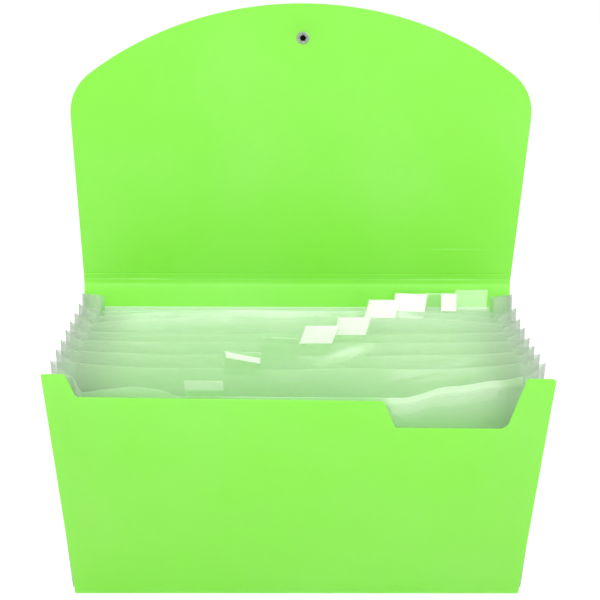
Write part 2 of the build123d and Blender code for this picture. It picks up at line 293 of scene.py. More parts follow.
def polypropylene_sheet(cover, scuff_and_highlight):
    """Extruded polypropylene: satin, faintly cloudy in colour, sand-grained, white where it was bent, with
    a painted highlight along the flap's fold.
    """
    made, tree, place = new_material("polypropylene_sheet_extruded_satin")
    # Cloudiness of the melt, patches of about 70 mm
    cloud = add(tree, "ShaderNodeTexNoise", {"Vector": place, "Scale": 1 / 0.07, "Detail": 2.0})
    patch = add(tree, "ShaderNodeMapRange", {
        "Value": cloud, "From Min": 0.35, "From Max": 0.75, "To Max": 0.3})
    pale = (*(c + 0.16 * (1 - c) for c in cover[:3]), 1.0)
    base = add(tree, "ShaderNodeMix", {"Factor": patch, "A": cover, "B": pale}, data_type="RGBA")
    # Whitened folds with a painted highlight along the flap's fold, broken up along the line in runs of
    # about 20 mm
    drawn = add(tree, "ShaderNodeMapping", {"Vector": place, "Scale": (1.0, 0.2, 0.2)})
    runs = add(tree, "ShaderNodeTexNoise", {"Vector": drawn, "Scale": 1 / 0.02, "Detail": 3.0})
    wear_and_highlight = add(tree, "ShaderNodeMapRange", {
        "Value": runs, "From Min": 0.3, "From Max": 0.6, "To Min": 0.35})
    bent = add(tree, "ShaderNodeAttribute", attribute_name="bent").outputs["Fac"]
    white = add(tree, "ShaderNodeMath", {0: bent, 1: wear_and_highlight}, operation="MULTIPLY", use_clamp=True)
    tint = add(tree, "ShaderNodeMix", {"Factor": white, "A": base, "B": scuff_and_highlight}, data_type="RGBA")
    # Sand grain of 0.25 mm, drawn at 0.6 mm so that it shows
    grain = add(tree, "ShaderNodeTexNoise", {"Vector": place, "Scale": 1 / 0.0006, "Detail": 1.0})
    bump = add(tree, "ShaderNodeBump", {"Height": grain, "Strength": 0.12, "Distance": 0.0001})
    gloss = add(tree, "ShaderNodeMapRange", {"Value": cloud, "To Min": 0.36, "To Max": 0.46})
    face = add(tree, "ShaderNodeBsdfPrincipled", {
        "Base Color": tint, "Roughness": gloss, "IOR": 1.49, "Normal": bump})
    # Light shines through the sheet and tints the mouth
    through = add(tree, "ShaderNodeBsdfTranslucent", {"Color": tint})
    sheet = add(tree, "ShaderNodeMixShader", {0: 0.36, 1: face, 2: through})
    add(tree, "ShaderNodeOutputMaterial", {"Surface": sheet})
    return made


def clear_surface(tree, tint, clear, density, roughness, normal):
    """Ends the tree of a clear sheet: a share of haze, half of it lit from behind, under a glossy face."""
    front = add(tree, "ShaderNodeBsdfDiffuse", {"Color": tint, "Normal": normal})
    behind = add(tree, "ShaderNodeBsdfTranslucent", {"Color": tint, "Normal": normal})
    haze = add(tree, "ShaderNodeMixShader", {0: 0.5, 1: front, 2: behind})
    through = add(tree, "ShaderNodeBsdfTransparent", {"Color": clear})
    body = add(tree, "ShaderNodeMixShader", {0: density, 1: through, 2: haze})
    # A plastic face reflects 4% of the light that meets it squarely, and all of it at a grazing angle
    facing = add(tree, "ShaderNodeLayerWeight", {"Blend": 0.5}).outputs["Facing"]
    grazing = add(tree, "ShaderNodeMath", {0: facing, 1: 5.0}, operation="POWER")
    share = add(tree, "ShaderNodeMath", {0: grazing, 1: 0.96, 2: 0.04}, operation="MULTIPLY_ADD")
    shine = add(tree, "ShaderNodeBsdfGlossy", {"Color": WHITE, "Roughness": roughness, "Normal": normal})
    sheet = add(tree, "ShaderNodeMixShader", {0: share, 1: body, 2: shine})
    add(tree, "ShaderNodeOutputMaterial", {"Surface": sheet})


def bellows_film(colours):
    """Cast polypropylene film: milky and glossy, with draw lines, painted highlights at its upper edges and
    buckles, and painted shade that greys the pleats.
    """
    made, tree, place = new_material("polypropylene_film_cast")
    # Draw lines of the casting, stretched along the width, about 4 mm apart
    drawn = add(tree, "ShaderNodeMapping", {"Vector": place, "Scale": (0.06, 1.0, 1.0)})
    lines = add(tree, "ShaderNodeTexNoise", {"Vector": drawn, "Scale": 1 / 0.004, "Detail": 3.0})
    streak = add(tree, "ShaderNodeMapRange", {
        "Value": lines, "From Min": 0.5, "From Max": 0.8, "To Max": 0.05})
    # The rim mark carries painted highlights at upper edges and on buckles, and whiter lines along the
    # pleats
    rim = add(tree, "ShaderNodeAttribute", attribute_name="rim").outputs["Fac"]
    pale = add(tree, "ShaderNodeMath", {0: rim, 1: streak}, operation="MAXIMUM")
    # From the flat film to the pleats at the sides, and on to their outer folds, where painted shade greys
    # the film and darkens the folds
    across = add(tree, "ShaderNodeSeparateXYZ", {0: place}).outputs["X"]
    off_middle = add(tree, "ShaderNodeMath", {0: across}, operation="ABSOLUTE")
    inner_fold = DIVIDER_WIDTH / 2 * MM
    pleated = add(tree, "ShaderNodeMapRange", {
        "Value": off_middle, "From Min": inner_fold - 0.025, "From Max": inner_fold + 0.008},
        interpolation_type="SMOOTHSTEP")
    outer = add(tree, "ShaderNodeMapRange", {
        "Value": off_middle, "From Min": inner_fold + 0.005, "From Max": inner_fold + 0.014})
    tint = colours.film
    for share, other in (
            (pleated, colours.pleat_film), (outer, colours.pleat_fold), (pale, colours.film_edge)):
        tint = add(tree, "ShaderNodeMix", {"Factor": share, "A": tint, "B": other}, data_type="RGBA")
    haze = add(tree, "ShaderNodeMapRange", {"Value": pleated, "To Min": 0.185, "To Max": 0.34})
    dense = add(tree, "ShaderNodeMapRange", {"Value": pale, "To Min": haze, "To Max": 0.85})
    gloss = add(tree, "ShaderNodeMapRange", {"Value": lines, "To Min": 0.12, "To Max": 0.28})
    bump = add(tree, "ShaderNodeBump", {"Height": lines, "Strength": 0.08, "Distance": 0.0006})
    clear_surface(tree, tint, WHITE, dense, gloss, bump)
    return made


def clear_sleeve(sleeve):
    """Calendered clear vinyl: see-through, very glossy, with handling scratches."""
    made, tree, place = new_material("vinyl_clear_calendered")
    # Rub marks about 2 mm long
    drawn = add(tree, "ShaderNodeMapping", {
        "Vector": place, "Scale": (0.3, 1.0, 1.0), "Rotation": (0.0, 0.4, 0.0)})
    rub = add(tree, "ShaderNodeTexNoise", {"Vector": drawn, "Scale": 1 / 0.0008, "Detail": 2.0})
    gloss = add(tree, "ShaderNodeMapRange", {"Value": rub, "To Min": 0.06, "To Max": 0.2})
    dense = add(tree, "ShaderNodeMapRange", {"Value": rub, "To Min": 0.0, "To Max": 0.04})
    bump = add(tree, "ShaderNodeBump", {"Height": rub, "Strength": 0.05, "Distance": 0.0001})
    # Each face of the vinyl takes a little of the light, most of it blue and red
    clear = (0.99, 0.995, 0.985, 1.0)
    clear_surface(tree, sleeve, clear, dense, gloss, bump)
    return made


def index_card(card):
    """Uncoated white card: matt, with fibres that show as faint specks."""
    made, tree, place = new_material("card_uncoated_white")
    # Fibres of about 1 mm
    fibre = add(tree, "ShaderNodeTexNoise", {"Vector": place, "Scale": 1 / 0.001, "Detail": 4.0})
    grey = (*(0.93 * c for c in card[:3]), 1.0)
    tint = add(tree, "ShaderNodeMix", {"Factor": fibre, "A": grey, "B": card}, data_type="RGBA")
    bump = add(tree, "ShaderNodeBump", {"Height": fibre, "Strength": 0.1, "Distance": 0.0001})
    face = add(tree, "ShaderNodeBsdfPrincipled", {"Base Color": tint, "Roughness": 0.85, "Normal": bump})
    add(tree, "ShaderNodeOutputMaterial", {"Surface": face})
    return made


def nickel_plate(metal):
    """Nickel-plated steel: bright grey, marked by the press tool."""
    made, tree, place = new_material("steel_nickel_plated_pressed")
    # Tool marks of 0.1 mm, drawn at 0.4 mm so that they show
    marks = add(tree, "ShaderNodeTexNoise", {"Vector": place, "Scale": 1 / 0.0004, "Detail": 3.0})
    gloss = add(tree, "ShaderNodeMapRange", {"Value": marks, "To Min": 0.16, "To Max": 0.4})
    dull = (*(0.7 * c for c in metal[:3]), 1.0)
    tint = add(tree, "ShaderNodeMix", {"Factor": marks, "A": metal, "B": dull}, data_type="RGBA")
    face = add(tree, "ShaderNodeBsdfPrincipled", {"Base Color": tint, "Metallic": 1.0, "Roughness": gloss})
    add(tree, "ShaderNodeOutputMaterial", {"Surface": face})
    return made


def anchor_bead(bead):
    """Moulded black nylon: satin, with a faint bloom."""
    made, tree, place = new_material("nylon_black_moulded")
    # Bloom in specks of 0.3 mm
    bloom = add(tree, "ShaderNodeTexNoise", {"Vector": place, "Scale": 1 / 0.0003, "Detail": 2.0})
    gloss = add(tree, "ShaderNodeMapRange", {"Value": bloom, "To Min": 0.35, "To Max": 0.55})
    face = add(tree, "ShaderNodeBsdfPrincipled", {
        "Base Color": bead, "Roughness": gloss, "Specular IOR Level": 0.03})
    add(tree, "ShaderNodeOutputMaterial", {"Surface": face})
    return made


def looked_at(tree):
    """1 where the camera looks, also in a reflection or through a clear sheet, and 0 for other light."""
    path = add(tree, "ShaderNodeLightPath").outputs
    seen = path["Is Camera Ray"]
    for ray in ("Is Glossy Ray", "Is Transmission Ray"):
        seen = add(tree, "ShaderNodeMath", {0: seen, 1: path[ray]}, operation="MAXIMUM")
    return seen


def studio_floor(floor):
    """Matt white paper floor that keeps the shadow, lifted to white where it is looked at or mirrored."""
    made, tree = new_material("paper_floor_white")[:2]
    lift = add(tree, "ShaderNodeMath", {0: looked_at(tree), 1: FLOOR_LIFT}, operation="MULTIPLY")
    glow = add(tree, "ShaderNodeEmission", {"Color": WHITE, "Strength": lift})
    paper = add(tree, "ShaderNodeBsdfDiffuse", {"Color": floor})
    both = add(tree, "ShaderNodeAddShader", {0: paper, 1: glow})
    add(tree, "ShaderNodeOutputMaterial", {"Surface": both})
    return made


def place_mesh(name, mesh, material=None):
    """An object for a finished mesh, smooth except at its edges. A node tree's mesh has its material."""
    mesh.name = name
    if material is not None:
        mesh.materials.append(material)
    mesh.shade_smooth()
    mesh.set_sharp_from_angle(angle=SMOOTH_LIMIT)
    made = bpy.data.objects.new(name, mesh)
    bpy.context.scene.collection.objects.link(made)
    return made


def plain_mesh(name, work):
    """A mesh from finished bmesh work, with its faces pointing outwards."""
    bmesh.ops.recalc_face_normals(work, faces=work.faces)
    mesh = bpy.data.meshes.new(name)
    work.to_mesh(mesh)
    work.free()
    return mesh


def sheet_piece(name, grid, material, rounding=0.0, seam=False, mark="bent"):
    """A closed sheet with round edges, from a grid of columns of points.

    A point is (place in the middle of the sheet, normal, front half, back half, mark). With seam set, the
    first row is cut square, where another sheet carries on.
    """
    columns, rows = len(grid), len(grid[0])
    loop = [(j, 0) for j in range(columns)]
    loop += [(columns - 1, k) for k in range(1, rows)]
    loop += [(j, rows - 1) for j in reversed(range(columns - 1))]
    loop += [(0, k) for k in reversed(range(1, rows - 1))]
    inset = {}
    for i, (j, k) in enumerate(loop):
        before, after = loop[i - 1], loop[(i + 1) % len(loop)]
        along = grid[after[0]][after[1]][0] - grid[before[0]][before[1]][0]
        outward = along.cross(grid[j][k][1]).normalized()
        inner = grid[min(max(j, 1), columns - 2)][min(max(k, 1), rows - 2)][0]
        if outward.dot(grid[j][k][0] - inner) < 0:
            outward = -outward
        inset[j, k] = Vector() if seam and k == 0 else outward * rounding
    work = bmesh.new()
    marks = []

    def vertex(point, value):
        marks.append(value)
        return work.verts.new(point * MM)

    front, back = {}, {}
    for j in range(columns):
        for k in range(rows):
            point, normal, ahead, behind, value = grid[j][k]
            shift = inset.get((j, k), Vector())
            front[j, k] = vertex(point + normal * ahead - shift, value)
            back[j, k] = vertex(point - normal * behind - shift, value)
    for j in range(columns - 1):
        for k in range(rows - 1):
            square = ((j, k), (j + 1, k), (j + 1, k + 1), (j, k + 1))
            work.faces.new([front[c] for c in square])
            work.faces.new([back[c] for c in reversed(square)])
    rings = [[front[c] for c in loop]]
    for near in (True, False):
        ring = []
        for j, k in loop:
            point, normal, ahead, behind, value = grid[j][k]
            offset = ahead - rounding if near else rounding - behind
            ring.append(vertex(point + normal * offset, value))
        rings.append(ring)
    rings.append([back[c] for c in loop])
    for first, second in zip(rings, rings[1:]):
        for i in range(len(loop)):
            work.faces.new((first[i - 1], first[i], second[i], second[i - 1]))
    mesh = plain_mesh(name, work)
    mesh.attributes.new(mark, "FLOAT", "POINT").data.foreach_set("value", marks)
    return place_mesh(name, mesh, material)


def lathe_piece(name, leaf, centre, profile, material, steps=48):
    """A closed ring or disc turned about the normal of a leaf from a profile of (radius, height) points."""
    work = bmesh.new()
    rings = []
    for radius, height in profile:
        turns = [2 * pi * i / steps for i in range(steps if radius > 0 else 1)]
        rings.append([work.verts.new(leaf.at(
            centre[0] + radius * cos(a), centre[1] + radius * sin(a), height) * MM) for a in turns])
    closed = profile[0][0] > 0
    for first, second in zip(rings, rings[1:] + rings[:1] * closed):
        for i in range(steps):
            corners = [first[i % len(first)], first[i - 1] if len(first) > 1 else None,
                       second[i - 1] if len(second) > 1 else None, second[i % len(second)]]
            corners = [c for c in corners if c is not None]
            if len(corners) > 2:
                work.faces.new(corners)
    return place_mesh(name, plain_mesh(name, work), material)


def spaced(start, stop, count):
    """Values from start to stop in count even steps, both ends included."""
    return [start + (stop - start) * i / count for i in range(count + 1)]


def bell(distance, width):
    """1 at no distance, falling smoothly to 0 beyond the width."""
    return exp(-((distance / width) ** 2))


def ramp(share):
    """The share, held between 0 and 1."""
    return min(1, max(0, share))


def painted_edge_highlight(drop, highlight):
    """Painted highlight on film at a distance under its upper edge: a bright cut edge and a hazy band under
    it.
    """
    return max(highlight.edge * bell(drop, highlight.depth / 12), highlight.haze * ramp(2 * (1 - drop / highlight.depth)))


def eased(points, place):
    """The values at a place along a line of (place, value, ...) points, eased from point to point."""
    for before, after in zip(points, points[1:]):
        if place <= after[0]:
            share = max(0, (place - before[0]) / (after[0] - before[0]))
            share = share * share * (3 - 2 * share)
            return [a + (b - a) * share for a, b in zip(before[1:], after[1:])]
    return list(points[-1][1:])


def rounded_edge(corners, steps=5, run=6.0):
    """Points along a line of (u, v, radius) corners, arcs at the corners and runs divided between them."""
    points = [Vector(corners[0][:2])]
    for before, corner, after in zip(corners, corners[1:], corners[2:]):
        here = Vector(corner[:2])
        back, on = (Vector(before[:2]) - here).normalized(), (Vector(after[:2]) - here).normalized()
        half = back.angle(on) / 2
        reach = corner[2] / tan(half)
        centre = here + (back + on).normalized() * (corner[2] / sin(half))
        first, last = here + back * reach - centre, here + on * reach - centre
        turn = first.angle_signed(last)
        for i in range(steps + 1):
            angle = -turn * i / steps
            points.append(centre + Vector((
                first.x * cos(angle) - first.y * sin(angle), first.x * sin(angle) + first.y * cos(angle))))
    points.append(Vector(corners[-1][:2]))
    divided = [points[0]]
    for point in points[1:]:
        count = max(1, round((point - divided[-1]).length / run))
        divided += [divided[-1].lerp(point, i / count) for i in range(1, count + 1)]
    return [(p.x, p.y) for p in divided]


def bend(before, after, corner, turn_radius, steps=6):
    """Points and normals round a fold between two directions along the sheet, and the fold's reach."""
    angle = before.angle(after)
    reach = turn_radius * tan(angle / 2)
    inward = (after - before).normalized()
    centre = corner + inward * (turn_radius / cos(angle / 2))
    start = corner - before * reach - centre
    finish = corner + after * reach - centre
    normals = [start.normalized().slerp(finish.normalized(), i / steps) for i in range(steps + 1)]
    return [(centre + n * turn_radius, n) for n in normals], reach


def front_edge(skew):
    """Upper edge of the front panel from left to right: ears, lowered middle and thumb notch."""
    ear, low = HALF_WIDTH - RIGHT_EAR, FRONT_HEIGHT - EAR_DROP
    notch, floor = ear - NOTCH_WIDTH, low - NOTCH_DEPTH
    edge = rounded_edge([
        (-HALF_WIDTH, FRONT_HEIGHT - CORNER_RADIUS, 0), (-HALF_WIDTH, FRONT_HEIGHT, CORNER_RADIUS),
        (LEFT_EAR - HALF_WIDTH, FRONT_HEIGHT, CORNER_RADIUS),
        (LEFT_EAR + EAR_SLOPE - HALF_WIDTH, low, CORNER_RADIUS),
        (notch, low, CORNER_RADIUS), (notch + NOTCH_SLOPE, floor, CORNER_RADIUS),
        (ear - NOTCH_SLOPE, floor, NOTCH_RADIUS), (ear, FRONT_HEIGHT, CORNER_RADIUS),
        (HALF_WIDTH, FRONT_HEIGHT, CORNER_RADIUS), (HALF_WIDTH, FRONT_HEIGHT - CORNER_RADIUS, 0)])
    return [(u, min(EAR_LIMIT, v + skew * (1 - u / HALF_WIDTH) / 2)) for u, v in edge]


def flap_edge():
    """Upper edge of the flap from left to right: a wide arch between two round shoulders."""
    rise = FLAP_LENGTH - ARCH_RADIUS
    shoulder = HALF_WIDTH - SHOULDER_RADIUS
    level = sqrt((ARCH_RADIUS - SHOULDER_RADIUS) ** 2 - shoulder ** 2)
    meet = atan2(level, shoulder)
    right = [(shoulder + SHOULDER_RADIUS * cos(meet * a), rise + level + SHOULDER_RADIUS * sin(meet * a))
             for a in (0, 0.2, 0.34, 0.46, 0.57, 0.68, 0.79, 0.9)]
    right += [(ARCH_RADIUS * cos(a), rise + ARCH_RADIUS * sin(a)) for a in spaced(meet, pi / 2, 26)]
    # More columns round the eyelet
    right = [p for p in right if p[0] > EYELET_ZONE + 1] + [
        (u, rise + sqrt(ARCH_RADIUS ** 2 - u ** 2)) for u in reversed(spaced(0, EYELET_ZONE, 12))]
    return [(-u, v) for u, v in right] + [p for p in reversed(right) if p[0] > 0]


def parted(edge, gap=0.35):
    """The edge with its columns a gap apart, so that their rounded rims don't cross."""
    kept = [edge[0]]
    for point in edge[1:]:
        if point[0] - kept[-1][0] > gap:
            kept.append(point)
    kept[-1] = edge[-1]
    return kept


def creased(creases, u, v, quality):
    """What the buckles of a divider add up to at (u, v): their height or their painted glint."""
    total = 0.0
    for crease in creases:
        along = u - crease.place
        across = v - (DIVIDER_HEIGHT - crease.drop + crease.slope * along)
        near = bell(along, crease.half_length) * bell(across, crease.half_width)
        total += getattr(crease, quality) * near
    return total


def divider_bow(number, ripple):
    """How far a divider stands forward of its flat plane at (u, v): held at its sides, slack at its top."""
    draw = Random(40 + number)
    waves = [(draw.uniform(0.4, 1.0), draw.uniform(1.2, 4.5), draw.uniform(0, 2 * pi), draw.uniform(0, 3))
             for _ in range(4)]
    sway = draw.uniform(-1.5, 1.5)
    creases = list(CREASES.get(number, ()))
    # Folds that run from the upper corners down to the middle, as slack film hangs
    for _ in range(6):
        place = draw.uniform(-100, 100)
        creases.append(Crease(
            place, drop=draw.uniform(4, 38), slope=draw.uniform(0.0024, 0.004) * place,
            half_length=draw.uniform(12, 28), half_width=draw.uniform(1.6, 3.0),
            height=draw.uniform(0.4, 1.1), whiteness=0.0))

    def bow(u, v):
        across, up = min(max(2 * u / DIVIDER_WIDTH, -1), 1), max(v, 0) / DIVIDER_HEIGHT
        if number == FRONT_DIVIDER:
            hang = eased(FRONT_SWAG, u)[0] * up ** SLACK_GROWTH
        else:
            hang = DIVIDER_BOW[number] * (1 - across ** 4) * up ** SLACK_GROWTH
            hang += sway * across * (1 - across ** 2) * up ** 2
            hang += ripple * (1 - across ** 2) * up ** 2 * sum(
                size * sin(pi * count * across + phase + lag * up) for size, count, phase, lag in waves)
        return hang + (1 - across ** 4) * creased(creases, u, v, "height")

    return bow


def sheet_normal(leaf, bow, u, v, step=0.5):
    """Normal of a bowed sheet, from points a step away."""
    along = leaf.at(u + step, v, bow(u + step, v)) - leaf.at(u - step, v, bow(u - step, v))
    upward = leaf.at(u, v + step, bow(u, v + step)) - leaf.at(u, v - step, bow(u, v - step))
    return along.cross(upward).normalized()


def shut_with_fan(piece):
    """Gives the piece a mesh of its own."""
    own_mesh(piece)


def new_tree(name, **inputs):
    """An empty geometry tree with named inputs of each kind of socket: the tree and those inputs."""
    tree = bpy.data.node_groups.new(name, "GeometryNodeTree")
    for kind, names in inputs.items():
        for label in names:
            tree.interface.new_socket(label, in_out="INPUT", socket_type="NodeSocket" + kind)
    tree.interface.new_socket("Geometry", in_out="OUTPUT", socket_type="NodeSocketGeometry")
    return tree, {s.name: s for s in add(tree, "NodeGroupInput").outputs}


def end_tree(tree, sheet, thickness, weld, points, turn, material):
    """Gives an open sheet its thickness and repeats it on points, each turned on from the one before."""
    thick = add(tree, "GeometryNodeExtrudeMesh", {
        "Mesh": sheet, "Offset Scale": thickness, "Individual": False})
    under = add(tree, "GeometryNodeFlipFaces", {"Mesh": sheet})
    both = add(tree, "GeometryNodeJoinGeometry", {"Geometry": [thick, under]})
    closed = add(tree, "GeometryNodeMergeByDistance", {"Geometry": both, "Distance": weld})
    number = add(tree, "GeometryNodeInputIndex")
    angle = add(tree, "ShaderNodeMath", {0: number, 1: turn}, operation="MULTIPLY")
    turned = add(tree, "FunctionNodeEulerToRotation", {0: add(tree, "ShaderNodeCombineXYZ", {"Z": angle})})
    copies = add(tree, "GeometryNodeInstanceOnPoints", {
        "Points": points, "Instance": closed, "Rotation": turned})
    real = add(tree, "GeometryNodeRealizeInstances", {"Geometry": copies})
    done = add(tree, "GeometryNodeSetMaterial", {"Geometry": real, "Material": material})
    add(tree, "NodeGroupOutput", {"Geometry": done})


def pleat_tree():
    """Geometry nodes for both pleats of a pocket: a V of film that opens with height, one on each side."""
    tree, known = new_tree(
        "Pleat pair", Int=["Seed"], Material=["Material"],
        Float=["Start", "Height", "Foot opening", "Spread", "Flat depth", "Inner fold", "Film thickness",
               "Fold rounding", "Top slope", "Corner drop", "Ripple"])
    grid = add(tree, "GeometryNodeMeshGrid", {
        "Size X": 2.0, "Size Y": 1.0, "Vertices X": 37, "Vertices Y": 41})
    flat = add(tree, "ShaderNodeSeparateXYZ", {0: add(tree, "GeometryNodeInputPosition")}).outputs
    across = flat["X"]
    up = add(tree, "ShaderNodeMath", {0: flat["Y"], 1: 0.5}, operation="ADD")
    level = add(tree, "ShaderNodeMapRange", {
        "Value": up, "To Min": known["Start"], "To Max": known["Height"]})
    # The outer fold is rounded: the distance from it never falls under the rounding
    eased_off = add(tree, "ShaderNodeCombineXYZ", {"X": across, "Y": known["Fold rounding"]})
    off_fold = add(tree, "ShaderNodeVectorMath", {0: eased_off}, operation="LENGTH")
    noise = add(tree, "ShaderNodeTexNoise", {
        "Vector": add(tree, "ShaderNodeCombineXYZ", {"X": across, "Y": up}), "W": known["Seed"],
        "Scale": 3.5, "Detail": 1.0}, noise_dimensions="4D")
    wave = add(tree, "ShaderNodeMapRange", {
        "Value": noise, "From Min": 0.3, "From Max": 0.7, "To Min": -1.0, "To Max": 1.0}, clamp=False)
    known.update({"across": across, "up": up, "level": level, "off fold": off_fold, "wave": wave})
    # Each step: its name, its operation, and the names or numbers that go into it
    for name, operation, *values in (
            ("opening", "MULTIPLY_ADD", "level", "Spread", "Foot opening"),
            ("depth squared", "POWER", "Flat depth", 2.0),
            ("opening squared", "POWER", "opening", 2.0),
            ("reach squared", "SUBTRACT", "depth squared", "opening squared"),
            ("reach", "SQRT", "reach squared"),
            ("outness", "SUBTRACT", 1.0, "off fold"),
            ("outward", "MULTIPLY", "reach", "outness"),
            # Slack film between the folds, more of it towards the top
            ("across squared", "POWER", "across", 2.0),
            ("free", "MULTIPLY_ADD", "across squared", -1.0, 1.0),
            ("slack", "MULTIPLY", "wave", "free"),
            ("slack", "MULTIPLY", "slack", "up"),
            ("side", "MULTIPLY", "opening", "across"),
            ("side", "MULTIPLY_ADD", "slack", "Ripple", "side"),
            # The upper edge falls from the outer fold to the divider at the inner one
            ("inness", "SUBTRACT", 1.0, "outness"),
            ("corner", "POWER", "inness", 6.0),
            ("steep", "POWER", "inness", 0.6),
            ("fall", "MULTIPLY", "steep", "Top slope"),
            ("fall", "MULTIPLY_ADD", "corner", "Corner drop", "fall"),
            ("near top", "POWER", "up", 5.0),
            ("fall", "MULTIPLY", "fall", "near top"),
            ("height", "SUBTRACT", "level", "fall"),
            # The film is drawn whiter along its outer folds, and along its upper edge as a painted
            # highlight
            ("fold line", "POWER", "outness", 30.0),
            ("top line", "POWER", "up", 90.0),
            ("rim", "MAXIMUM", "fold line", "top line"),
            ("rim", "MULTIPLY", "rim", 0.05)):
        inputs = {i: known.get(value, value) for i, value in enumerate(values)}
        known[name] = add(tree, "ShaderNodeMath", inputs, operation=operation)
    marked = add(tree, "GeometryNodeStoreNamedAttribute", {
        "Geometry": grid, "Name": "rim", "Value": known["rim"]}, data_type="FLOAT", domain="POINT")
    bent = add(tree, "GeometryNodeSetPosition", {
        "Geometry": marked, "Position": add(tree, "ShaderNodeCombineXYZ", {
            "X": known["outward"], "Y": known["side"], "Z": known["height"]})})
    start = add(tree, "ShaderNodeCombineXYZ", {"X": known["Inner fold"]})
    ends = add(tree, "GeometryNodeMeshLine", {"Count": 2, "Start Location": start, "Offset": add(
        tree, "ShaderNodeVectorMath", {0: start, "Scale": -2.0}, operation="SCALE")})
    end_tree(tree, bent, known["Film thickness"], 1e-6, ends, pi, known["Material"])
    return tree


def petal_tree():
    """Geometry nodes for the clinched end of the eyelet: a rolled tongue, repeated round the barrel."""
    tree, known = new_tree(
        "Eyelet petals", Int=["Petals"], Material=["Material"],
        Float=["Barrel radius", "Roll radius", "Base level", "Metal thickness", "Half angle"])
    grid = add(tree, "GeometryNodeMeshGrid", {
        "Size X": 2.0, "Size Y": 1.0, "Vertices X": 9, "Vertices Y": 13})
    flat = add(tree, "ShaderNodeSeparateXYZ", {0: add(tree, "GeometryNodeInputPosition")}).outputs
    # From the barrel over the roll and down to the washer
    roll = add(tree, "ShaderNodeMapRange", {
        "Value": flat["Y"], "From Min": -0.5, "From Max": 0.5, "To Max": 0.92 * pi})
    # Each tongue narrows to a blunt point
    narrow = add(tree, "ShaderNodeMapRange", {
        "Value": flat["Y"], "From Min": -0.5, "From Max": 0.5, "To Min": 1.0, "To Max": 0.45})
    known.update({"across": flat["X"], "roll": roll, "narrow": narrow})
    # Each step: its name, its operation, and the names or numbers that go into it
    for name, operation, *values in (
            ("rise", "SINE", "roll"),
            ("level", "MULTIPLY_ADD", "rise", "Roll radius", "Base level"),
            ("turn back", "COSINE", "roll"),
            ("lean", "MULTIPLY_ADD", "turn back", -1.0, 1.0),
            ("radius", "MULTIPLY_ADD", "lean", "Roll radius", "Barrel radius"),
            ("swing", "MULTIPLY", "across", "Half angle"),
            ("swing", "MULTIPLY", "swing", "narrow"),
            ("x", "COSINE", "swing"),
            ("x", "MULTIPLY", "radius", "x"),
            ("y", "SINE", "swing"),
            ("y", "MULTIPLY", "radius", "y"),
            ("turn", "DIVIDE", 2 * pi, "Petals")):
        inputs = {i: known.get(value, value) for i, value in enumerate(values)}
        known[name] = add(tree, "ShaderNodeMath", inputs, operation=operation)
    tongue = add(tree, "GeometryNodeSetPosition", {
        "Geometry": grid, "Position": add(tree, "ShaderNodeCombineXYZ", {
            "X": known["x"], "Y": known["y"], "Z": known["level"]})})
    points = add(tree, "GeometryNodeMeshLine", {"Count": known["Petals"], "Offset": (0.0, 0.0, 0.0)})
    end_tree(tree, tongue, known["Metal thickness"], 1e-7, points, known["turn"], known["Material"])
    return tree


def grown_mesh(tree, values):
    """Plain mesh that a node tree makes from its named inputs."""
    holder = bpy.data.objects.new("holder", bpy.data.meshes.new("holder"))
    bpy.context.scene.collection.objects.link(holder)
    modifier = holder.modifiers.new("Nodes", "NODES")
    modifier.node_group = tree
    for socket in tree.interface.items_tree:
        if socket.in_out == "INPUT":
            modifier[socket.identifier] = values[socket.name]
    graph = bpy.context.evaluated_depsgraph_get()
    mesh = bpy.data.meshes.new_from_object(holder.evaluated_get(graph))
    bpy.data.objects.remove(holder)
    work = bmesh.new()
    work.from_mesh(mesh)
    bmesh.ops.recalc_face_normals(work, faces=work.faces)
    work.to_mesh(mesh)
    work.free()
    return mesh


def seat(mesh, place, *axes):
    """Puts a grown mesh where its own axes have their place, in millimetres."""
    mesh.transform(Matrix.Translation(place * MM) @ Matrix(axes).transposed().to_4x4())


